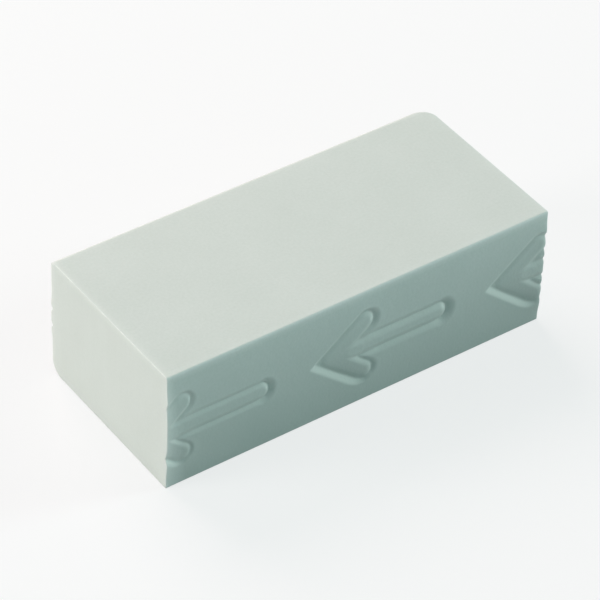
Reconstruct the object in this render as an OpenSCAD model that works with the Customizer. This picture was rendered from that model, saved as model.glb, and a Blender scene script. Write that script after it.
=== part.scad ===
// Small block of vinyl rubber for rubbing out pencil.
// It is cut from a long bar that has rows of arrows pressed into both of its long sides,
// so the cut ends pass through arrows. X runs along the block, Z is up from the base,
// and the origin is the middle of the base.

/* [Block] */
// Length between the two cut ends
block_length = 40; // [24:0.5:80]
// Width between the two plain side faces
block_width = 17.9; // [12:0.1:30]
// Height from the base to the top
block_height = 12.5; // [12:0.1:25]

/* [Edges] */
// Rounding of the two long edges of the top
top_round = 0.3; // [0.1:0.05:1]
// Rounding of the front long edge of the base
front_base_round = 0.12; // [0.04:0.02:1]
// Rounding of the back long edge of the base
back_base_round = 1.45; // [0.1:0.05:1.6]
// Rounding of the upright corner at the back of the right end
corner_round = 1.55; // [0.2:0.05:4]

/* [Arrows] */
// Distance from one arrow to the next along the bar
arrow_pitch = 18.9; // [16:0.05:30]
// Height of the arrows' centre line above the middle of the side
arrow_lift = 0; // [-0.2:0.05:0.8]
// Length of an arrow from its point to the end of its shaft
arrow_length = 14; // [9:0.1:16]
// Width of the shaft, from groove to groove
shaft_width = 1.85; // [1.2:0.05:2.6]
// Width of the two barbs, from groove to groove
barb_width = 1.9; // [1.2:0.05:2.6]
// Length of a barb along its own middle line, to the centre of its round end
barb_length = 4.4; // [3:0.05:5.5]
// Angle between a barb and the shaft
barb_angle = 39.5; // [30:0.5:50]
// Point of the first whole arrow on the front, measured from the left end
front_arrow_start = 15.5; // [0:0.1:30]
// Point of the first whole arrow on the back, measured from the left end
back_arrow_start = 9.4; // [0:0.1:30]

/* [Relief] */
// Depth of the groove round an arrow, below the plain side face
groove_depth = 0.3; // [0.15:0.05:0.6]
// Run of the groove's outer wall, seen square on
outer_wall_run = 0.5; // [0.2:0.05:0.8]
// Run of the groove's inner wall, seen square on
inner_wall_run = 0.25; // [0.1:0.05:0.4]
// How far the middle of each stroke stands above the plain side face
stroke_rise = 0.14; // [0.02:0.02:0.3]

/* [Hidden] */
$fn = 64;
vinyl_colour = "#dfe6dd";
// Distance by which cuts run clear of the faces that they leave
clear = 1;
// Depth to which strokes are rooted in the block
root_depth = groove_depth + clear;
// Distance from an arrow's point to where the middle lines of its three strokes meet
stroke_meeting = barb_width / 2 / sin(barb_angle);
// Distance by which the groove reaches past an arrow's point
groove_reach = outer_wall_run / sin(barb_angle);
// Extra length of the barbs past the point, which is mitred away
mitre_overrun = (barb_width / 2 + outer_wall_run + clear) / tan(barb_angle);

// Radius of an arc over a chord of the given half width with the given rise
function arc_radius(half_chord, rise) = (half_chord * half_chord + rise * rise) / (2 * rise);

// Material outside a round of the given radius, in the corner at the origin
module outside_round(radius) {
    difference() {
        translate([-clear, -clear])
            square(radius + clear);
        translate([radius, radius])
            circle(radius);
    }
}

// Section across the bar, with the front on the left
module bar_section() {
    difference() {
        translate([-block_width / 2, 0])
            square([block_width, block_height]);
        translate([-block_width / 2, 0])
            outside_round(front_base_round);
        translate([block_width / 2, 0])
            mirror([1, 0])
                outside_round(back_base_round);
        for (side = [0, 1])
            mirror([side, 0])
                translate([-block_width / 2, block_height])
                    mirror([0, 1])
                        outside_round(top_round);
    }
}

// Section of the hollow between the outer walls of a stroke's groove
module hollow_section(stroke_width) {
    mouth = stroke_width / 2 + outer_wall_run * (groove_depth + clear) / groove_depth;
    polygon([
        [-stroke_width / 2, -groove_depth],
        [stroke_width / 2, -groove_depth],
        [mouth, clear],
        [-mouth, clear]
    ]);
}

// Section of a stroke: sloping flanks under a crowned top
module stroke_section(stroke_width) {
    shoulder = stroke_width / 2 - inner_wall_run;
    crown_radius = arc_radius(shoulder, stroke_rise);
    polygon([
        [-stroke_width / 2, -root_depth],
        [stroke_width / 2, -root_depth],
        [stroke_width / 2, -groove_depth],
        [shoulder, 0],
        [-shoulder, 0],
        [-stroke_width / 2, -groove_depth]
    ]);
    intersection() {
        translate([0, stroke_rise - crown_radius])
            circle(crown_radius);
        translate([-shoulder, -groove_depth])
            square([2 * shoulder, groove_depth + clear]);
    }
}

module relief_section(layer, stroke_width) {
    if (layer == "hollow")
        hollow_section(stroke_width);
    if (layer == "stroke")
        stroke_section(stroke_width);
}

// Turns a section about the upright through the origin, which makes the round end of a run
module round_end() {
    rotate_extrude()
        intersection() {
            children();
            translate([0, -block_width])
                square(2 * block_width);
        }
}

// Carries a section along X from start to end, and rounds off the end
module round_ended_run(start, end) {
    translate([start, 0, 0])
        rotate([90, 0, 90])
            linear_extrude(end - start)
                children();
    translate([end, 0, 0])
        round_end()
            children();
}

// One arrow with its point at the origin: the shaft and two barbs. The hollow runs on to a
// sharp mitred point, and the strokes inside it meet in a round one.
module arrow(layer) {
    barb_start = layer == "stroke" ? 0 : -mitre_overrun;
    translate([stroke_meeting, 0, 0]) {
        if (layer == "stroke")
            round_end()
                relief_section(layer, barb_width);
        round_ended_run(0, arrow_length - shaft_width / 2 - stroke_meeting)
            relief_section(layer, shaft_width);
        for (side = [0, 1])
            mirror([0, side, 0])
                intersection() {
                    rotate([0, 0, barb_angle])
                        round_ended_run(barb_start, barb_length)
                            relief_section(layer, barb_width);
                    translate([-block_length, 0, -block_width])
                        cube([2 * block_length, block_height, 2 * block_width]);
                }
    }
}

// Row of arrows along the front side, pointing to the left end
module arrow_row(layer, start) {
    first = start - arrow_pitch * floor((start + arrow_length + groove_reach) / arrow_pitch);
    for (point = [first : arrow_pitch : block_length + groove_reach])
        translate([point - block_length / 2, -block_width / 2, block_height / 2 + arrow_lift])
            rotate([90, 0, 0])
                arrow(layer);
}

module both_rows(layer) {
    arrow_row(layer, front_arrow_start);
    mirror([0, 1, 0])
        arrow_row(layer, back_arrow_start);
}

// The bar with its arrows pressed in, before it is cut to length
module pressed_bar() {
    difference() {
        translate([-block_length / 2 - clear, 0, 0])
            rotate([90, 0, 90])
                linear_extrude(block_length + 2 * clear)
                    bar_section();
        both_rows("hollow");
    }
    both_rows("stroke");
}

module eraser_block() {
    color(vinyl_colour)
        difference() {
            intersection() {
                pressed_bar();
                translate([-block_length / 2, -block_width, -clear])
                    cube([block_length, 2 * block_width, block_height + 2 * clear]);
            }
            translate([block_length / 2, block_width / 2, -clear])
                rotate([0, 0, 180])
                    linear_extrude(block_height + 2 * clear)
                        outside_round(corner_round);
        }
}

eraser_block();
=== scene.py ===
import math

import bpy
from mathutils import Matrix, Vector


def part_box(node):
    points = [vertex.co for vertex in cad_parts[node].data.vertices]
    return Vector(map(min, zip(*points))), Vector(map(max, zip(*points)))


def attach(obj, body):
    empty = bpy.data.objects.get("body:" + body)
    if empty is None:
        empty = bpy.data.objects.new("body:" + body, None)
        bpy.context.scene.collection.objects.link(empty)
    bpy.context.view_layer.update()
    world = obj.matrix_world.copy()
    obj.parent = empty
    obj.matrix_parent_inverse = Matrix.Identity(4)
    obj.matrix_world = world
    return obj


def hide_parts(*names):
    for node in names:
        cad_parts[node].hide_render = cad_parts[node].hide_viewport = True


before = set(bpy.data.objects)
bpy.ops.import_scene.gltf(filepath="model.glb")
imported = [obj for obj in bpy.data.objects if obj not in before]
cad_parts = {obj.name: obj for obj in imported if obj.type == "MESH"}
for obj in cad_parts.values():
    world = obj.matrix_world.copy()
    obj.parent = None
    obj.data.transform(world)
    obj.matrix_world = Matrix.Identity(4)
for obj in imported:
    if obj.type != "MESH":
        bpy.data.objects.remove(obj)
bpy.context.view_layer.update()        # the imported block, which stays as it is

mm = 0.001
nodeLow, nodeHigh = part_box("eraser_block")
blockLength = nodeHigh.x - nodeLow.x
blockHeight = nodeHigh.z - nodeLow.z

block = {
    "width": 17.9 * mm,            # between the plain side faces
    "frontTopRound": 0.2 * mm,
    "backTopRound": 0.38 * mm,
    "frontBaseRound": 0.12 * mm,
    "backBaseRound": 1.45 * mm,
    "cornerRound": 1.55 * mm,      # upright corner at the back of the right end
    "cutRound": 0.055 * mm,        # softening where the knife left the sides
    "reliefLow": 1.5 * mm,         # the arrows lie between these two heights
    "reliefHigh": 11.3 * mm,
    "cell": 0.12 * mm,             # spacing of the mesh under the arrows
    "support": 0.15 * mm,          # rows of faces that hold the flat faces flat
    "upperSpots": (0.3, 0.6, 0.82),    # rows between the arrows and the top, as shares of the way
    "arcSteps": 5,                 # faces over half of a small round
    "baseArcSteps": 11,            # the same for the wide round at the back of the base
    "topCells": 17,                # faces across the top and the base, between the rounds
    "cornerSteps": 12,             # faces round the upright corner
    "cutSteps": 4,                 # faces over the rounding of a cut edge
    "cutMargin": 1.5,              # free of the corner's faces before the cut, for one of cutRound
    "cornerReach": 5 * mm,         # depth over which the mesh follows the upright corner
    "pressReach": 2.5 * mm,        # depth over which it follows the arrows
    "cutFacing": 0.97,             # faces that look along the bar more than this are cut ones
}

blockSize = [round(size / mm, 2) for size in (blockLength, block["width"], blockHeight)]
print("block of", *blockSize, "mm")


def arcPoints(centre, radius, start, end, steps):
    # points and outward normals along a round of the section, angles in degrees
    points = []
    for step in range(steps + 1):
        angle = math.radians(start + (end - start) * step / steps)
        outward = Vector((math.cos(angle), math.sin(angle)))
        points.append((Vector(centre) + outward * radius, outward))
    return points


def straightPoints(start, end, outward, spots):
    # inner points of a straight stretch, without its two ends
    return [(Vector(start).lerp(Vector(end), spot), Vector(outward)) for spot in spots]


def evenSpots(count):
    return [step / count for step in range(1, count)]


def heldSpots(length, count, support):
    # even spots with one more close to each end, so that shading stays flat between rounds
    hold = support / length
    return [hold] + [hold + (1 - 2 * hold) * step / count for step in range(1, count)] + [1 - hold]


def sideRows(frontSide):
    # section points from the middle of the lower round to the middle of the upper one
    side = -1 if frontSide else 1
    facing = 180 if frontSide else 0
    turn = 45 if frontSide else -45
    low = block["frontBaseRound"] if frontSide else block["backBaseRound"]
    high = block["frontTopRound"] if frontSide else block["backTopRound"]
    outward = (side, 0)
    face = side * block["width"] / 2
    lowCentre = (face - side * low, low)
    highCentre = (face - side * high, blockHeight - high)
    straightStart, straightEnd = (face, low), (face, blockHeight - high)
    reliefStart, reliefEnd = (face, block["reliefLow"]), (face, block["reliefHigh"])
    reliefRows = round((block["reliefHigh"] - block["reliefLow"]) / block["cell"])
    if frontSide:
        # its small round takes fewer rows than the back's wide one, and the straight takes the rest
        extra = block["baseArcSteps"] - block["arcSteps"]
        rows = arcPoints(lowCentre, low, facing + turn, facing, block["arcSteps"])
        rows += straightPoints(straightStart, reliefStart, outward, evenSpots(extra + 1))
    else:
        rows = arcPoints(lowCentre, low, facing + turn, facing, block["baseArcSteps"])
    rows.append((Vector(reliefStart), Vector(outward)))
    rows += straightPoints(reliefStart, reliefEnd, outward, evenSpots(reliefRows))
    rows.append((Vector(reliefEnd), Vector(outward)))
    rows += straightPoints(reliefEnd, straightEnd, outward, block["upperSpots"])
    return rows + arcPoints(highCentre, high, facing, facing - turn, block["arcSteps"])


def levelRow(top, count):
    # section points across the top or the base, from the front round to the back one
    half = block["width"] / 2
    steps = block["arcSteps"]
    if top:
        near, wide = block["frontTopRound"], block["backTopRound"]
        front = arcPoints((-half + near, blockHeight - near), near, 135, 90, steps)
        back = arcPoints((half - wide, blockHeight - wide), wide, 90, 45, steps)
    else:
        near, wide = block["frontBaseRound"], block["backBaseRound"]
        front = arcPoints((-half + near, near), near, 225, 270, steps)
        back = arcPoints((half - wide, wide), wide, 270, 315, block["baseArcSteps"])
    frontEnd, backStart = front[-1][0], back[0][0]
    cells = count - (len(front) - 1) - (len(back) - 1)
    spots = heldSpots((backStart - frontEnd).length, cells - 2, block["support"])
    return front + straightPoints(frontEnd, backStart, (0, 1 if top else -1), spots) + back


def stationList():
    # (x, inset) along the block: the cut edges are rounded by the inset
    half = blockLength / 2
    cutRound, cornerRound = block["cutRound"], block["cornerRound"]
    quarter = [math.radians(90 * step / block["cutSteps"]) for step in range(block["cutSteps"] + 1)]
    rounding = [(cutRound * (1 - math.sin(turn)), cutRound * (1 - math.cos(turn))) for turn in quarter]
    left = [(-half + back, inset) for back, inset in reversed(rounding)]
    right = [(half - back, inset) for back, inset in rounding]
    cornerStart = half - cornerRound
    length = cornerStart + half - cutRound
    count = round(length / block["cell"])
    middle = [(-half + cutRound + length * step / count, 0) for step in range(1, count + 1)]
    corner = []
    for step in range(1, block["cornerSteps"]):
        x = cornerStart + cornerRound * math.sin(math.radians(90 * step / block["cornerSteps"]))
        if x < half - block["cutMargin"] * cutRound:
            corner.append((x, 0))
    return left + middle + corner + right


def cornerDrop(x):
    # how far the back side has drawn in at x, round the upright corner
    radius = block["cornerRound"]
    past = x - (blockLength / 2 - radius)
    if past <= 0:
        return 0
    return radius - math.sqrt(max(radius * radius - past * past, 0))


def placed(x, point, outward, inset):
    # a point of the section at x, drawn in by the inset and by the upright corner
    spot = point - outward * inset
    reach = block["cornerReach"]
    share = min(max((spot.x - (block["width"] / 2 - reach)) / reach, 0), 1)
    return Vector((x, spot.x - cornerDrop(x) * share, spot.y))


def capPoint(sides, row, column, deep):
    # a point of the cut face, blended from the four sides of the section
    front, back, base, top = sides
    up = row / (len(front) - 1)
    over = column / (len(base) - 1)
    middle = blockHeight / 2
    closer = (1 - deep / (block["width"] / 2), 1 - deep / middle)

    def held(side, index):
        point = side[index][0]
        return Vector((point.x * closer[0], middle + (point.y - middle) * closer[1]))

    across = held(base, column).lerp(held(top, column), up)
    upward = held(front, row).lerp(held(back, row), over)
    low = held(front, 0).lerp(held(back, 0), over)
    high = held(front, -1).lerp(held(back, -1), over)
    return across + upward - low.lerp(high, up)


def addCap(vertices, faces, sides, station, ring, size, leftEnd):
    # closes a cut end with a grid of faces that joins the last ring of the sides
    x, inset = station
    rows, columns = len(sides[0]) - 1, len(sides[2]) - 1
    start = len(vertices)
    for row in range(rows + 1):
        for column in range(columns + 1):
            point = capPoint(sides, row, column, inset + block["support"])
            vertices.append(placed(x, point, Vector((0, 0)), 0))

    def spot(row, column):
        return start + row * (columns + 1) + column

    def addFace(*corners):
        faces.append(corners if leftEnd else corners[::-1])

    for row in range(rows):
        for column in range(columns):
            low, high = spot(row, column), spot(row + 1, column)
            addFace(low, high, high + 1, low + 1)
    edge = [spot(0, column) for column in range(columns)]
    edge += [spot(row, columns) for row in range(rows)]
    edge += [spot(rows, column) for column in range(columns, 0, -1)]
    edge += [spot(row, 0) for row in range(rows, 0, -1)]
    for here in range(size):
        after = (here + 1) % size
        addFace(ring + here, edge[here], edge[after], ring + after)


def blockMesh():
    # rings of the section along the block, and a grid over each cut end
    front, back = sideRows(True), sideRows(False)
    count = block["topCells"] + 2 * block["arcSteps"]
    top, base = levelRow(True, count), levelRow(False, count)
    loop = base[:-1] + back[:-1] + top[:0:-1] + front[:0:-1]
    stations = stationList()
    size = len(loop)
    lastRing = (len(stations) - 1) * size
    vertices, faces = [], []
    for x, inset in stations:
        for point, outward in loop:
            vertices.append(placed(x, point, outward, inset))
    for ring in range(0, lastRing, size):
        for here in range(size):
            after = (here + 1) % size
            faces.append((ring + here, ring + after, ring + after + size, ring + here + size))
    sides = (front, back, base, top)
    addCap(vertices, faces, sides, stations[0], 0, size, True)
    addCap(vertices, faces, sides, stations[-1], lastRing, size, False)
    mesh = bpy.data.meshes.new("eraserBlock")
    mesh.from_pydata([tuple(vertex) for vertex in vertices], [], faces)
    mesh.update()
    return mesh


nodeGrid = {"columns": 14, "across": 180, "down": 170}    # lays out new nodes in the editor


def treeMaths(tree):
    # returns a function that adds one Math node and gives its output
    def maths(operation, *values, clamp=False):
        node = tree.nodes.new("ShaderNodeMath")
        node.operation = operation
        node.use_clamp = clamp
        row, column = divmod(len(tree.nodes), nodeGrid["columns"])
        node.location = (nodeGrid["across"] * column, -nodeGrid["down"] * row)
        for socket, value in zip(node.inputs, values):
            if isinstance(value, bpy.types.NodeSocket):
                tree.links.new(value, socket)
            else:
                socket.default_value = value
        return node.outputs[0]
    return maths


def easeNodes(maths, value):
    # smooth step of a value between 0 and 1
    clamped = maths("ADD", value, 0.0, clamp=True)
    squared = maths("MULTIPLY", clamped, clamped)
    return maths("MULTIPLY", squared, maths("MULTIPLY_ADD", clamped, -2.0, 3.0))


def mixNodes(maths, first, second, share):
    return maths("ADD", first, maths("MULTIPLY", maths("SUBTRACT", second, first), share))


def decayNodes(maths, distance, reach):
    # 1 at no distance, dying away over the reach
    return maths("EXPONENT", maths("MULTIPLY", maths("DIVIDE", distance, reach), -1.0))


def riseNodes(maths, distance, run, curve):
    # 0 to 1 over the run: a straight slope for curve 0, one that eases off to level for curve 1
    share = maths("DIVIDE", distance, run, clamp=True)
    slope = maths("SUBTRACT", maths("ADD", curve, 1.0), maths("MULTIPLY", curve, share))
    return maths("MULTIPLY", share, slope)


def strokeDistance(maths, along, aside, reach, cosine, sine, halfWidth):
    # distance from the edge of a round stroke that leaves the origin at an angle
    offAlong = maths("SUBTRACT", along, maths("MULTIPLY", reach, cosine))
    offAside = maths("SUBTRACT", aside, maths("MULTIPLY", reach, sine))
    squares = maths("ADD", maths("MULTIPLY", offAlong, offAlong), maths("MULTIPLY", offAside, offAside))
    return maths("SUBTRACT", maths("SQRT", squares), halfWidth)


def shaftDistance(maths, along, aside, start, end, halfWidth):
    # distance from the edge of a stroke that runs along the arrow's axis from start to end
    nearest = maths("MINIMUM", maths("MAXIMUM", along, start), end)
    return strokeDistance(maths, along, aside, nearest, 1.0, 0.0, halfWidth)


arrows = {
    "Pitch": 18.9 * mm,
    "Front Start": 15.41 * mm,     # point of the first whole arrow, from the left end
    "Back Start": 9.4 * mm,
    "Lift": 0.0 * mm,              # axis of the arrows above the middle of the side
    "Lead": 1.5,                   # plain side that goes with an arrow ahead of its point, in barb widths
    "Arrow Length": 14.05 * mm,
    "Shaft Width": 1.88 * mm,
    "Shaft Start": 3.55 * mm,      # where the shaft's ridge stands out of the head
    "Barb Width": 2.02 * mm,
    "Barb Length": 4.4 * mm,
    "Barb Angle": math.radians(39.6),
    "Crotch": 0.15 * mm,           # softening where the barbs meet the shaft
    "Head Depth": 0.33 * mm,       # of the groove round the outside of the barbs
    "Inner Depth": 0.17 * mm,      # between the barbs and the shaft
    "Shaft Depth": 0.28 * mm,
    "Least Depth": 0.03 * mm,
    "Tilt": 0.02,                  # the press went in deeper towards the base
    "Tip Depth": 0.12 * mm,        # more depth round the end of the shaft
    "Upper Tip Share": 0.45,       # this share of it is added round the ends of the upper barbs
    "Lower Tip Share": -1.2,       # and this share round the lower ones, where it takes depth away
    "Floor Width": 0.03 * mm,
    "Head Draft": 1.5,             # run of the groove's outer wall, for one of depth
    "Inner Draft": 2.2,
    "Shaft Draft": 2.3,
    "Head Curve": 0.05,            # 0 for a straight slope, 1 for one that eases off to level
    "Shaft Fade Curve": 1.0,
    "Shaft Curve": 0.85,
    "Barb Curve": 0.45,
    "Shaft Flank": 0.65 * mm,      # from the groove up to the level top of a stroke
    "Barb Flank": 0.48 * mm,
    "Inner Flank": 0.5 * mm,       # the same on the shaft's side of a barb
    "Shaft Crown": 0.03 * mm,      # level of a stroke's top against the plain side
    "Barb Crown": -0.04 * mm,
    "Roll": 0.16,                  # slope of the barbs' tops, down towards the outside
    "Fold Softness": 0.35,         # of the fold where these slopes meet, in barb widths
    "Join Softness": 0.15,         # where shaft and barbs join, as a share of the depth
    "Lip": 0.012 * mm,             # vinyl pushed up round the outside
    "Lip Reach": 0.35 * mm,
    "Weak Share": 0.25,            # the first arrow on the front is pressed in less by this share
    "Weak End": 13.0 * mm,
    "Swell": 0.16 * mm,            # the arrow stands up where the knife cut it
    "Swell Reach": 1.2 * mm,
    "Highest": 0.135 * mm,         # no part of an arrow stands out further than this
    "Highest Softness": 0.04 * mm,
}


def arrowFields(maths, inputs, position, start):
    # where a point lies against its arrow: from the arrow's point, its axis and the edges of its strokes
    halfShaft = maths("MULTIPLY", inputs["Shaft Width"], 0.5)
    halfBarb = maths("MULTIPLY", inputs["Barb Width"], 0.5)
    cosine = maths("COSINE", inputs["Barb Angle"])
    sine = maths("SINE", inputs["Barb Angle"])
    halfLength = maths("MULTIPLY", inputs["Block Length"], 0.5)
    fromEnd = maths("ADD", position.outputs["X"], halfLength)
    lead = maths("MULTIPLY", inputs["Barb Width"], inputs["Lead"])
    shifted = maths("ADD", maths("SUBTRACT", fromEnd, start), lead)
    along = maths("SUBTRACT", maths("WRAP", shifted, inputs["Pitch"], 0.0), lead)
    axis = maths("ADD", maths("MULTIPLY", inputs["Block Height"], 0.5), inputs["Lift"])
    below = maths("SUBTRACT", axis, position.outputs["Z"])
    aside = maths("ABSOLUTE", below)

    meeting = maths("DIVIDE", halfBarb, sine)    # the middle lines of the three strokes meet here
    past = maths("SUBTRACT", along, meeting)
    run = maths("ADD", maths("MULTIPLY", past, cosine), maths("MULTIPLY", aside, sine))
    across = maths("SUBTRACT", maths("MULTIPLY", past, sine), maths("MULTIPLY", aside, cosine))
    onBarb = maths("MINIMUM", run, inputs["Barb Length"])
    onBarbOnly = maths("MAXIMUM", onBarb, 0.0)
    headEnd = maths("ADD", meeting, maths("MULTIPLY", inputs["Barb Length"], cosine))
    pastHead = maths("DIVIDE", maths("SUBTRACT", along, headEnd), inputs["Shaft Width"])
    inward = maths("MULTIPLY_ADD", maths("DIVIDE", across, inputs["Barb Width"]), 2.0, 1.0)
    shaftEnd = maths("SUBTRACT", inputs["Arrow Length"], halfShaft)
    ridgeStart = maths("ADD", inputs["Shaft Start"], halfShaft)
    return {
        "fromEnd": fromEnd,
        "fromCut": maths("SUBTRACT", halfLength, maths("ABSOLUTE", position.outputs["X"])),
        "below": below,
        "aside": aside,
        "past": past,
        "cosine": cosine,
        "sine": sine,
        "halfBarb": halfBarb,
        "pastShaft": maths("SUBTRACT", along, shaftEnd),
        "pastBarb": maths("SUBTRACT", run, inputs["Barb Length"]),
        "onShaft": easeNodes(maths, pastHead),
        "inner": easeNodes(maths, inward),
        "isLower": maths("GREATER_THAN", below, 0.0),
        "shaft": shaftDistance(maths, along, aside, meeting, shaftEnd, halfShaft),
        "ridge": shaftDistance(maths, along, aside, ridgeStart, shaftEnd, halfShaft),
        "neck": shaftDistance(maths, along, aside, meeting, ridgeStart, halfShaft),
        "pointed": strokeDistance(maths, past, aside, onBarb, cosine, sine, halfBarb),
        "rounded": strokeDistance(maths, past, aside, onBarbOnly, cosine, sine, halfBarb),
    }


def forceNodes(maths, inputs, spot, isFront):
    # 1, or less where the first arrow on the front is pressed in weakly
    pastWeak = maths("DIVIDE", maths("SUBTRACT", spot["fromEnd"], inputs["Weak End"]), inputs["Barb Width"])
    weak = maths("MULTIPLY", maths("SUBTRACT", 1.0, easeNodes(maths, pastWeak)), isFront)
    return maths("SUBTRACT", 1.0, maths("MULTIPLY", weak, inputs["Weak Share"]))


def tipNodes(maths, inputs, spot):
    # how much of the tip depth a point gets, round the ends of the shaft and the barbs
    perWidth = maths("DIVIDE", 1.0, inputs["Shaft Width"])
    atShaftEnd = easeNodes(maths, maths("MULTIPLY_ADD", spot["pastShaft"], perWidth, 0.5))
    atBarbEnd = easeNodes(maths, maths("MULTIPLY_ADD", spot["pastBarb"], perWidth, 0.5))
    barbShare = mixNodes(maths, inputs["Upper Tip Share"], inputs["Lower Tip Share"], spot["isLower"])
    onHead = maths("MULTIPLY", atBarbEnd, maths("SUBTRACT", 1.0, spot["onShaft"]))
    onHead = maths("MULTIPLY", onHead, maths("MAXIMUM", spot["inner"], spot["isLower"]))
    return maths("MULTIPLY_ADD", onHead, barbShare, atShaftEnd)


def depthNodes(maths, inputs, spot):
    # depth of the groove's floor, without and with the tilt of the press
    headDepth = mixNodes(maths, inputs["Head Depth"], inputs["Inner Depth"], spot["inner"])
    plainDepth = mixNodes(maths, headDepth, inputs["Shaft Depth"], spot["onShaft"])
    evenDepth = maths("MULTIPLY_ADD", tipNodes(maths, inputs, spot), inputs["Tip Depth"], plainDepth)
    tilt = maths("MULTIPLY", inputs["Tilt"], maths("SUBTRACT", 1.0, spot["inner"]))
    tilted = maths("MULTIPLY_ADD", spot["below"], tilt, evenDepth)
    return evenDepth, maths("MAXIMUM", tilted, inputs["Least Depth"])


def wallNodes(maths, inputs, spot, outside, depth):
    # the groove's outer wall, 0 at its foot and 1 at the plain side, and the lip beyond it
    headDraft = mixNodes(maths, inputs["Head Draft"], inputs["Inner Draft"], spot["inner"])
    draft = mixNodes(maths, headDraft, inputs["Shaft Draft"], spot["onShaft"])
    curve = mixNodes(maths, inputs["Head Curve"], inputs["Shaft Fade Curve"], spot["onShaft"])
    wallRun = maths("MULTIPLY", depth, draft)
    wall = riseNodes(maths, outside, wallRun, curve)
    beyond = maths("MAXIMUM", maths("SUBTRACT", outside, wallRun), 0.0)
    fade = decayNodes(maths, beyond, inputs["Lip Reach"])
    return wall, maths("MULTIPLY", maths("MULTIPLY", inputs["Lip"], wall), fade)


def strokeNodes(maths, inputs, edge, flank, curve, level, force):
    # height of a stroke above the floor of the groove, for a press of the given force
    inside = maths("SUBTRACT", maths("MULTIPLY", inputs["Floor Width"], -0.5), edge)
    rise = riseNodes(maths, inside, maths("MULTIPLY", flank, force), curve)
    return maths("MULTIPLY", maths("MULTIPLY", level, force), rise)


def shaftNodes(maths, inputs, spot, evenDepth, force):
    level = maths("ADD", evenDepth, inputs["Shaft Crown"])
    flank, curve = inputs["Shaft Flank"], inputs["Shaft Curve"]
    return strokeNodes(maths, inputs, spot["ridge"], flank, curve, level, force)


def barbNodes(maths, inputs, spot, evenDepth, force):
    # the two barbs, whose tops slope down towards the outside and meet in a soft fold
    head = maths("SMOOTH_MIN", spot["rounded"], spot["neck"], inputs["Crotch"])
    softness = maths("MULTIPLY", inputs["Barb Width"], inputs["Fold Softness"])
    asideSquare = maths("MULTIPLY", spot["aside"], spot["aside"])
    folded = maths("SQRT", maths("ADD", asideSquare, maths("MULTIPLY", softness, softness)))
    along = maths("MULTIPLY", spot["past"], spot["sine"])
    across = maths("SUBTRACT", along, maths("MULTIPLY", folded, spot["cosine"]))
    offAxis = easeNodes(maths, maths("DIVIDE", spot["aside"], inputs["Shaft Width"]))
    brow = maths("MULTIPLY", spot["halfBarb"], maths("MULTIPLY_ADD", offAxis, 0.5, 0.5))
    top = maths("MULTIPLY_ADD", maths("MINIMUM", across, brow), inputs["Roll"], inputs["Barb Crown"])
    level = maths("ADD", evenDepth, top)
    flank = mixNodes(maths, inputs["Barb Flank"], inputs["Inner Flank"], spot["inner"])
    return strokeNodes(maths, inputs, head, flank, inputs["Barb Curve"], level, force)


def swellNodes(maths, inputs, spot, outside):
    # the arrow swells a little towards the cut ends
    fade = decayNodes(maths, spot["fromCut"], inputs["Swell Reach"])
    pastEdge = easeNodes(maths, maths("DIVIDE", outside, inputs["Shaft Width"]))
    return maths("MULTIPLY", maths("MULTIPLY", inputs["Swell"], fade), maths("SUBTRACT", 1.0, pastEdge))


def reliefNodes(maths, inputs, position, start, isFront):
    # height of the pressed relief above the plain side, for one row of arrows
    spot = arrowFields(maths, inputs, position, start)
    force = forceNodes(maths, inputs, spot, isFront)
    evenDepth, tiltedDepth = depthNodes(maths, inputs, spot)
    depth = maths("MULTIPLY", tiltedDepth, force)
    edge = maths("SMOOTH_MIN", spot["shaft"], spot["pointed"], inputs["Crotch"])
    outside = maths("SUBTRACT", edge, maths("MULTIPLY", inputs["Floor Width"], 0.5))
    wall, lip = wallNodes(maths, inputs, spot, outside, depth)
    shaft = shaftNodes(maths, inputs, spot, evenDepth, force)
    barbs = barbNodes(maths, inputs, spot, evenDepth, force)
    joined = maths("SMOOTH_MAX", shaft, barbs, maths("MULTIPLY", evenDepth, inputs["Join Softness"]))
    groove = maths("MULTIPLY_ADD", depth, maths("SUBTRACT", wall, 1.0), lip)
    strokes = maths("ADD", joined, swellNodes(maths, inputs, spot, outside))
    height = maths("ADD", groove, strokes)
    return maths("SMOOTH_MIN", height, inputs["Highest"], inputs["Highest Softness"])


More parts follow.
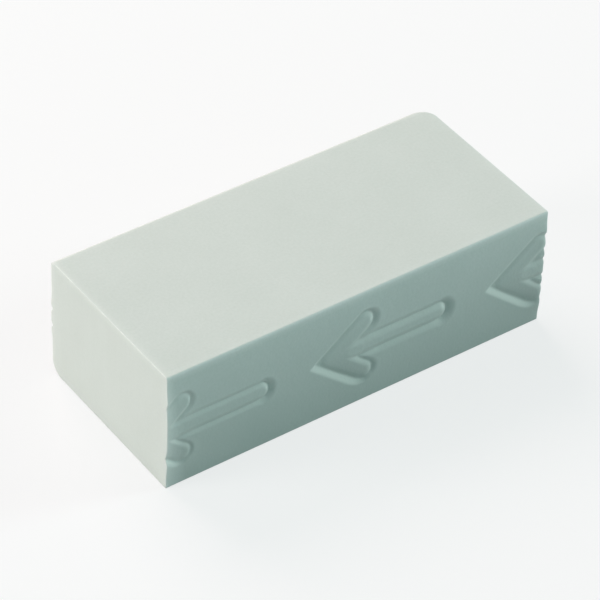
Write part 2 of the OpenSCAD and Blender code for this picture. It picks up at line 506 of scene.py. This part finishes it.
def arrowTree():
    # moves the sides by the relief, keeps its hollows as an attribute and sets the two finishes
    tree = bpy.data.node_groups.new("pressArrows", "GeometryNodeTree")
    tree.interface.new_socket("Geometry", in_out="INPUT", socket_type="NodeSocketGeometry")
    tree.interface.new_socket("Geometry", in_out="OUTPUT", socket_type="NodeSocketGeometry")
    for name in ("Block Length", "Block Width", "Block Height", "Press Reach", "Cut Facing", *arrows):
        tree.interface.new_socket(name, in_out="INPUT", socket_type="NodeSocketFloat")
    for name in ("Skin", "Cut"):
        tree.interface.new_socket(name, in_out="INPUT", socket_type="NodeSocketMaterial")
    maths = treeMaths(tree)
    inputs = tree.nodes.new("NodeGroupInput").outputs
    place = tree.nodes.new("GeometryNodeInputPosition")
    position = tree.nodes.new("ShaderNodeSeparateXYZ")
    tree.links.new(place.outputs[0], position.inputs[0])

    y = position.outputs["Y"]
    isFront = maths("LESS_THAN", y, 0.0)
    gap = maths("SUBTRACT", inputs["Front Start"], inputs["Back Start"])
    start = maths("MULTIPLY_ADD", isFront, gap, inputs["Back Start"])
    height = reliefNodes(maths, inputs, position, start, isFront)
    inward = maths("SUBTRACT", maths("MULTIPLY", inputs["Block Width"], 0.5), maths("ABSOLUTE", y))
    nearSide = easeNodes(maths, maths("SUBTRACT", 1.0, maths("DIVIDE", inward, inputs["Press Reach"])))
    moved = maths("MULTIPLY", height, nearSide)
    push = maths("MULTIPLY", moved, maths("SIGN", y))
    # depth of the hollows, which the vinyl darkens with painted shade
    hollow = maths("DIVIDE", maths("MULTIPLY", moved, -1.0), inputs["Head Depth"], clamp=True)

    offset = tree.nodes.new("ShaderNodeCombineXYZ")
    tree.links.new(push, offset.inputs["Y"])
    move = tree.nodes.new("GeometryNodeSetPosition")
    tree.links.new(inputs["Geometry"], move.inputs["Geometry"])
    tree.links.new(offset.outputs[0], move.inputs["Offset"])
    store = tree.nodes.new("GeometryNodeStoreNamedAttribute")
    store.inputs["Name"].default_value = "hollow"
    tree.links.new(move.outputs[0], store.inputs["Geometry"])
    tree.links.new(hollow, store.inputs["Value"])
    smooth = tree.nodes.new("GeometryNodeSetShadeSmooth")
    tree.links.new(store.outputs[0], smooth.inputs["Geometry"])

    realize = tree.nodes.new("GeometryNodeRealizeInstances")
    tree.links.new(smooth.outputs[0], realize.inputs[0])
    skinFinish = tree.nodes.new("GeometryNodeSetMaterial")
    tree.links.new(realize.outputs[0], skinFinish.inputs["Geometry"])
    tree.links.new(inputs["Skin"], skinFinish.inputs["Material"])
    normal = tree.nodes.new("GeometryNodeInputNormal")
    facing = tree.nodes.new("ShaderNodeSeparateXYZ")
    tree.links.new(normal.outputs[0], facing.inputs[0])
    onCut = maths("GREATER_THAN", maths("ABSOLUTE", facing.outputs["X"]), inputs["Cut Facing"])
    cutFinish = tree.nodes.new("GeometryNodeSetMaterial")
    tree.links.new(skinFinish.outputs[0], cutFinish.inputs["Geometry"])
    tree.links.new(onCut, cutFinish.inputs["Selection"])
    tree.links.new(inputs["Cut"], cutFinish.inputs["Material"])
    result = tree.nodes.new("NodeGroupOutput")
    tree.links.new(cutFinish.outputs[0], result.inputs["Geometry"])
    return tree


def pressedBlock(skinVinyl, cutVinyl):
    # presses the arrows into the plain block and makes the result a plain mesh
    blank = bpy.data.objects.new("blankBlock", blockMesh())
    bpy.context.scene.collection.objects.link(blank)
    tree = arrowTree()
    press = blank.modifiers.new("pressArrows", "NODES")
    press.node_group = tree
    values = {
        "Block Length": blockLength,
        "Block Width": block["width"],
        "Block Height": blockHeight,
        "Press Reach": block["pressReach"],
        "Cut Facing": block["cutFacing"],
        "Skin": skinVinyl,
        "Cut": cutVinyl,
        **arrows,
    }
    entries = [item for item in tree.interface.items_tree if item.in_out == "INPUT"]
    identifiers = {entry.name: entry.identifier for entry in entries}
    for name, value in values.items():
        press[identifiers[name]] = value
    graph = bpy.context.evaluated_depsgraph_get()
    mesh = bpy.data.meshes.new_from_object(blank.evaluated_get(graph), depsgraph=graph)
    mesh.name = "eraserBlock"
    bpy.data.objects.remove(blank)
    piece = bpy.data.objects.new("eraserBlock", mesh)
    bpy.context.scene.collection.objects.link(piece)
    print("pressed block:", len(mesh.polygons), "faces")
    return piece


vinyl = {
    "patch": 7 * mm,               # size of the slow patches of paler and darker colour
    "patchDetail": 4,
    "patchRoughness": 0.55,
    "grain": 0.26 * mm,
    "grainDetail": 3,
    "streakDetail": 2,
    "streakScale": 0.5,            # of the grain's own scale
    "streakStretch": (1.0, 1.0, 0.06),    # the knife's streaks run up and down the cut
    "speckle": 0.55,               # share of the grain in the colour, against that of the patches
    "toneRange": (0.35, 0.65),     # noise that gives the plain and the paler colour
    "edgeReach": 0.7 * mm,         # width of the painted light by the edges at the top
    "edgeGrowth": 2.0,             # added widths of it at the base
    "topFade": 0.4,                # it fades out on the top over this share of its width
    "topShare": 0.25,              # to this share
    # painted light along the edges, painted shade in the hollows and towards the base
    "paintedEdgeLight": (0.93, 0.95, 0.91, 1),
    "paintedHollowShade": (0.6, 0.68, 0.62, 1),
    "paintedLowShade": (0.53, 0.57, 0.53, 1),    # painted shade: the sides darker away from the top's light
    "bumpDistance": 0.02 * mm,
    "specular": 0.35,
    "subsurface": 0.4,
    "subsurfaceDepth": 0.7 * mm,
    "subsurfaceRadius": (1.0, 1.0, 1.0),
}
skin = {
    "colour": (0.695, 0.742, 0.695, 1),
    "paleColour": (0.74, 0.783, 0.74, 1),
    "roughness": (0.46, 0.6),
    "streak": 0.0,                 # share of the streaks in the grain
    "bump": 0.75,
    "edge": 0.6,                   # share of the painted light along the edges
    "hollow": 0.3,                 # share of the painted shade in the hollows
    "low": 0.9,                    # share of the painted shade towards the base
}
cut = {
    "colour": (0.7, 0.742, 0.695, 1),
    "paleColour": (0.735, 0.778, 0.733, 1),
    "roughness": (0.56, 0.72),
    "streak": 0.3,
    "bump": 0.45,
    "edge": 0.1,
    "hollow": 0.0,
    "low": 0.0,
}


def newMaterial(name):
    material = bpy.data.materials.new(name)
    material.use_nodes = True
    return material, material.node_tree, material.node_tree.nodes["Principled BSDF"]


def newGroup(name, inputNames, outputNames):
    # an empty shader group with number sockets, and the object's coordinates in it
    group = bpy.data.node_groups.new(name, "ShaderNodeTree")
    for inputName in inputNames:
        group.interface.new_socket(inputName, in_out="INPUT", socket_type="NodeSocketFloat")
    for outputName in outputNames:
        group.interface.new_socket(outputName, in_out="OUTPUT", socket_type="NodeSocketFloat")
    inputs = group.nodes.new("NodeGroupInput").outputs
    outputs = group.nodes.new("NodeGroupOutput").inputs
    coordinates = group.nodes.new("ShaderNodeTexCoord").outputs["Object"]
    return group, inputs, outputs, coordinates


def noiseNode(group, coordinates, scale, detail):
    noise = group.nodes.new("ShaderNodeTexNoise")
    noise.inputs["Detail"].default_value = detail
    group.links.new(coordinates, noise.inputs["Vector"])
    group.links.new(scale, noise.inputs["Scale"])
    return noise


def mottleGroup():
    # slow unevenness of the colour, as vinyl has it
    group, inputs, outputs, coordinates = newGroup("vinylMottle", ["Patch Size"], ["Mask"])
    scale = treeMaths(group)("DIVIDE", 1.0, inputs["Patch Size"])
    noise = noiseNode(group, coordinates, scale, vinyl["patchDetail"])
    noise.inputs["Roughness"].default_value = vinyl["patchRoughness"]
    group.links.new(noise.outputs["Fac"], outputs["Mask"])
    return group


def grainGroup():
    # fine grain of the surface, with a share of streaks that run up and down
    group, inputs, outputs, coordinates = newGroup("vinylGrain", ["Grain Size", "Streak"], ["Height"])
    maths = treeMaths(group)
    scale = maths("DIVIDE", 1.0, inputs["Grain Size"])
    grain = noiseNode(group, coordinates, scale, vinyl["grainDetail"])
    stretch = group.nodes.new("ShaderNodeMapping")
    stretch.inputs["Scale"].default_value = vinyl["streakStretch"]
    group.links.new(coordinates, stretch.inputs["Vector"])
    streakScale = maths("MULTIPLY", scale, vinyl["streakScale"])
    streaks = noiseNode(group, stretch.outputs[0], streakScale, vinyl["streakDetail"])
    mixed = group.nodes.new("ShaderNodeMix")
    group.links.new(inputs["Streak"], mixed.inputs["Factor"])
    group.links.new(grain.outputs["Fac"], mixed.inputs["A"])
    group.links.new(streaks.outputs["Fac"], mixed.inputs["B"])
    group.links.new(mixed.outputs["Result"], outputs["Height"])
    return group


def paintedShadingGroup():
    # masks for painted light along the edges by the top and the left end, weaker on the top itself
    # and wider towards the base, for painted shade in the pressed hollows and for painted shade below the
    # top
    sizes = ["Half Length", "Half Width", "Height", "Reach"]
    group, inputs, outputs, coordinates = newGroup("vinylPaintedShading", sizes, ["Edge", "Hollow", "Low"])
    maths = treeMaths(group)
    place = group.nodes.new("ShaderNodeSeparateXYZ")
    group.links.new(coordinates, place.inputs[0])
    fromCut = maths("ADD", inputs["Half Length"], place.outputs["X"])
    fromSide = maths("SUBTRACT", inputs["Half Width"], maths("ABSOLUTE", place.outputs["Y"]))
    fromTop = maths("SUBTRACT", inputs["Height"], place.outputs["Z"])
    smaller, larger = maths("MINIMUM", fromCut, fromSide), maths("MAXIMUM", fromCut, fromSide)
    second = maths("MAXIMUM", smaller, maths("MINIMUM", larger, fromTop))
    lowness = maths("DIVIDE", fromTop, inputs["Height"], clamp=True)
    growth = maths("MULTIPLY_ADD", lowness, vinyl["edgeGrowth"], 1.0)
    reach = maths("MULTIPLY", inputs["Reach"], growth)
    share = maths("SUBTRACT", 1.0, maths("DIVIDE", second, reach), clamp=True)
    offTop = maths("DIVIDE", fromTop, maths("MULTIPLY", inputs["Reach"], vinyl["topFade"]))
    offTop = maths("ADD", offTop, vinyl["topShare"], clamp=True)
    group.links.new(maths("MULTIPLY", share, offTop), outputs["Edge"])
    group.links.new(lowness, outputs["Low"])
    pressed = group.nodes.new("ShaderNodeAttribute")
    pressed.attribute_name = "hollow"
    group.links.new(pressed.outputs["Fac"], outputs["Hollow"])
    return group


def mixColours(tree, share, mask, first, second):
    # first colour turned towards the second by a share of the mask; the node's sockets for
    # colours share their names with those for numbers, so they are taken by place
    mixed = tree.nodes.new("ShaderNodeMix")
    mixed.data_type = "RGBA"
    tree.links.new(treeMaths(tree)("MULTIPLY", mask, share), mixed.inputs[0])
    tree.links.new(first, mixed.inputs[6])
    mixed.inputs[7].default_value = second
    return mixed.outputs[2]


def vinylColour(tree, values, mottle, grain, paintedShading):
    # plain to paler colour by the noise, then painted shade to the base, painted light at edges, painted
    # shade in hollows
    tone = mixNodes(treeMaths(tree), mottle.outputs["Mask"], grain.outputs["Height"], vinyl["speckle"])
    ramp = tree.nodes.new("ShaderNodeValToRGB")
    tree.links.new(tone, ramp.inputs["Fac"])
    colours = (values["colour"], values["paleColour"])
    for element, position, colour in zip(ramp.color_ramp.elements, vinyl["toneRange"], colours):
        element.position = position
        element.color = colour
    shaded = ramp.outputs["Color"]
    # painted shade towards the base, painted light along the edges, painted shade in the hollows
    for mask, share, colour in (
            ("Low", values["low"], vinyl["paintedLowShade"]),
            ("Edge", values["edge"], vinyl["paintedEdgeLight"]),
            ("Hollow", values["hollow"], vinyl["paintedHollowShade"])):
        shaded = mixColours(tree, share, paintedShading.outputs[mask], shaded, colour)
    return shaded


def vinylMaterial(name, values, groups):
    material, tree, shader = newMaterial(name)
    mottle, grain, paintedShading = (tree.nodes.new("ShaderNodeGroup") for _ in groups)
    mottle.node_tree, grain.node_tree, paintedShading.node_tree = groups
    mottle.inputs["Patch Size"].default_value = vinyl["patch"]
    grain.inputs["Grain Size"].default_value = vinyl["grain"]
    grain.inputs["Streak"].default_value = values["streak"]
    paintedShading.inputs["Half Length"].default_value = blockLength / 2
    paintedShading.inputs["Half Width"].default_value = block["width"] / 2
    paintedShading.inputs["Height"].default_value = blockHeight
    paintedShading.inputs["Reach"].default_value = vinyl["edgeReach"]
    tree.links.new(vinylColour(tree, values, mottle, grain, paintedShading), shader.inputs["Base Color"])
    rough = tree.nodes.new("ShaderNodeMapRange")
    rough.inputs["To Min"].default_value, rough.inputs["To Max"].default_value = values["roughness"]
    tree.links.new(grain.outputs["Height"], rough.inputs["Value"])
    tree.links.new(rough.outputs["Result"], shader.inputs["Roughness"])
    bump = tree.nodes.new("ShaderNodeBump")
    bump.inputs["Strength"].default_value = values["bump"]
    bump.inputs["Distance"].default_value = vinyl["bumpDistance"]
    tree.links.new(grain.outputs["Height"], bump.inputs["Height"])
    tree.links.new(bump.outputs["Normal"], shader.inputs["Normal"])
    shader.inputs["Specular IOR Level"].default_value = vinyl["specular"]
    shader.inputs["Subsurface Weight"].default_value = vinyl["subsurface"]
    shader.inputs["Subsurface Radius"].default_value = vinyl["subsurfaceRadius"]
    shader.inputs["Subsurface Scale"].default_value = vinyl["subsurfaceDepth"]
    return material


studio = {                         # each lamp looks at the middle of the block
    "back": {
        "from": (0, 0.8, 0.6), "distance": 0.5, "size": 0.35,
        "power": 1.61, "colour": (1, 0.785, 0.785)},
    "left": {
        "from": (-0.92, 0.3, 0.25), "distance": 0.4, "size": 0.2,
        "power": 0.97, "colour": (1, 0.929, 0.911)},
    "right": {
        "from": (0.9, -0.3, 0.3), "distance": 0.8, "size": 0.24,
        "power": 2.45, "colour": (0.67, 1, 0.92)},
    "rightFront": {
        "from": (0.8, -0.4, 0.45), "distance": 0.4, "size": 0.15,
        "power": 0.16, "colour": (1, 0.5, 0.728)},
    "front": {
        "from": (-0.1, -0.95, 0.3), "distance": 0.45, "size": 0.3,
        "power": 0.11, "colour": (0.1, 0.834, 1)},
}
room = {
    "strength": 0.3,
    "colour": (0.73, 1.0, 0.955, 1),
    "seenColour": (1, 1, 1, 1),
}
ground = {
    "size": 3.0,
    "seenColour": (0.28, 0.28, 0.28, 1),
    "bounceColour": (0.4, 0.42, 0.42, 1),
    "glow": 0.7,                   # lifts the floor to the white of the room
}


def addLight(name, values):
    lamp = bpy.data.lights.new(name, "AREA")
    lamp.shape = "DISK"
    lamp.size = values["size"]
    lamp.energy = values["power"]
    lamp.color = values["colour"]
    light = bpy.data.objects.new(name, lamp)
    bpy.context.scene.collection.objects.link(light)
    direction = Vector(values["from"]).normalized()
    light.location = Vector((0, 0, blockHeight / 2)) + direction * values["distance"]
    light.rotation_euler = direction.to_track_quat("Z", "Y").to_euler()
    light.visible_camera = False


def switchShaders(tree, lighting, seen):
    # one shader for the light that the object gets, the other where the camera looks at it
    path = tree.nodes.new("ShaderNodeLightPath")
    maths = treeMaths(tree)
    looking = maths("MAXIMUM", path.outputs["Is Camera Ray"], path.outputs["Is Glossy Ray"])
    looking = maths("MAXIMUM", looking, path.outputs["Is Transmission Ray"])
    mixed = tree.nodes.new("ShaderNodeMixShader")
    tree.links.new(looking, mixed.inputs["Fac"])
    tree.links.new(lighting.outputs[0], mixed.inputs[1])
    tree.links.new(seen.outputs[0], mixed.inputs[2])
    return mixed.outputs[0]


def addSurroundings():
    world = bpy.data.worlds.new("paleRoom")
    world.use_nodes = True
    bpy.context.scene.world = world
    tree = world.node_tree
    around = tree.nodes["Background"]
    around.inputs["Color"].default_value = room["colour"]
    around.inputs["Strength"].default_value = room["strength"]
    seen = tree.nodes.new("ShaderNodeBackground")
    seen.inputs["Color"].default_value = room["seenColour"]
    tree.links.new(switchShaders(tree, around, seen), tree.nodes["World Output"].inputs["Surface"])


def floorMaterial():
    material, tree, shader = newMaterial("paleFloor")
    tree.nodes.remove(shader)
    bounce = tree.nodes.new("ShaderNodeBsdfDiffuse")
    bounce.inputs["Color"].default_value = ground["bounceColour"]
    plain = tree.nodes.new("ShaderNodeBsdfDiffuse")
    plain.inputs["Color"].default_value = ground["seenColour"]
    glow = tree.nodes.new("ShaderNodeEmission")
    glow.inputs["Strength"].default_value = ground["glow"]
    seen = tree.nodes.new("ShaderNodeAddShader")
    tree.links.new(plain.outputs[0], seen.inputs[0])
    tree.links.new(glow.outputs[0], seen.inputs[1])
    tree.links.new(switchShaders(tree, bounce, seen), tree.nodes["Material Output"].inputs["Surface"])
    return material


def addFloor():
    half = ground["size"] / 2
    corners = [(-half, -half, 0), (half, -half, 0), (half, half, 0), (-half, half, 0)]
    mesh = bpy.data.meshes.new("floor")
    mesh.from_pydata(corners, [], [(0, 1, 2, 3)])
    mesh.materials.append(floorMaterial())
    floor = bpy.data.objects.new("floor", mesh)
    bpy.context.scene.collection.objects.link(floor)


viewpoint = {
    "azimuth": -37.05,             # degrees, round to the left of the front side
    "elevation": 40.6,
    "roll": 2.68,
    "distance": 287.7 * mm,
    "lens": 197.1,
    "aimBelow": 0.807 * mm,        # the picture's middle lies this far under the block's
    "aimLeft": 0.031 * mm,
    "nearest": 10 * mm,
    "furthest": 10.0,
}


def addCamera():
    azimuth = math.radians(viewpoint["azimuth"])
    elevation = math.radians(viewpoint["elevation"])
    roll = math.radians(viewpoint["roll"])
    back = Vector((
        math.sin(azimuth) * math.cos(elevation),
        -math.cos(azimuth) * math.cos(elevation),
        math.sin(elevation)))
    level = Vector((math.cos(azimuth), math.sin(azimuth), 0))
    steep = back.cross(level)
    right = level * math.cos(roll) + steep * math.sin(roll)
    up = steep * math.cos(roll) - level * math.sin(roll)
    middle = Vector((0, 0, blockHeight / 2))
    place = middle + back * viewpoint["distance"]
    aim = middle - up * viewpoint["aimBelow"] - right * viewpoint["aimLeft"]
    backward = (place - aim).normalized()
    rightward = up.cross(backward).normalized()
    upward = backward.cross(rightward)
    lens = bpy.data.cameras.new("photoView")
    lens.lens = viewpoint["lens"]
    lens.clip_start = viewpoint["nearest"]
    lens.clip_end = viewpoint["furthest"]
    camera = bpy.data.objects.new("photoView", lens)
    bpy.context.scene.collection.objects.link(camera)
    turn = Matrix((rightward, upward, backward)).transposed().to_4x4()
    camera.matrix_world = Matrix.Translation(place) @ turn
    bpy.context.scene.camera = camera


bpy.context.scene.view_settings.view_transform = "Standard"
addCamera()
for name, values in studio.items():
    addLight(name, values)
addSurroundings()
addFloor()
print("camera, lights and floor are in place")

groups = (mottleGroup(), grainGroup(), paintedShadingGroup())
skinVinyl = vinylMaterial("skinVinyl", skin, groups)
cutVinyl = vinylMaterial("cutVinyl", cut, groups)
print("vinyl for the pressed skin and the cut ends is made")

eraserBlock = pressedBlock(skinVinyl, cutVinyl)
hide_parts("eraser_block")
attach(eraserBlock, "root")
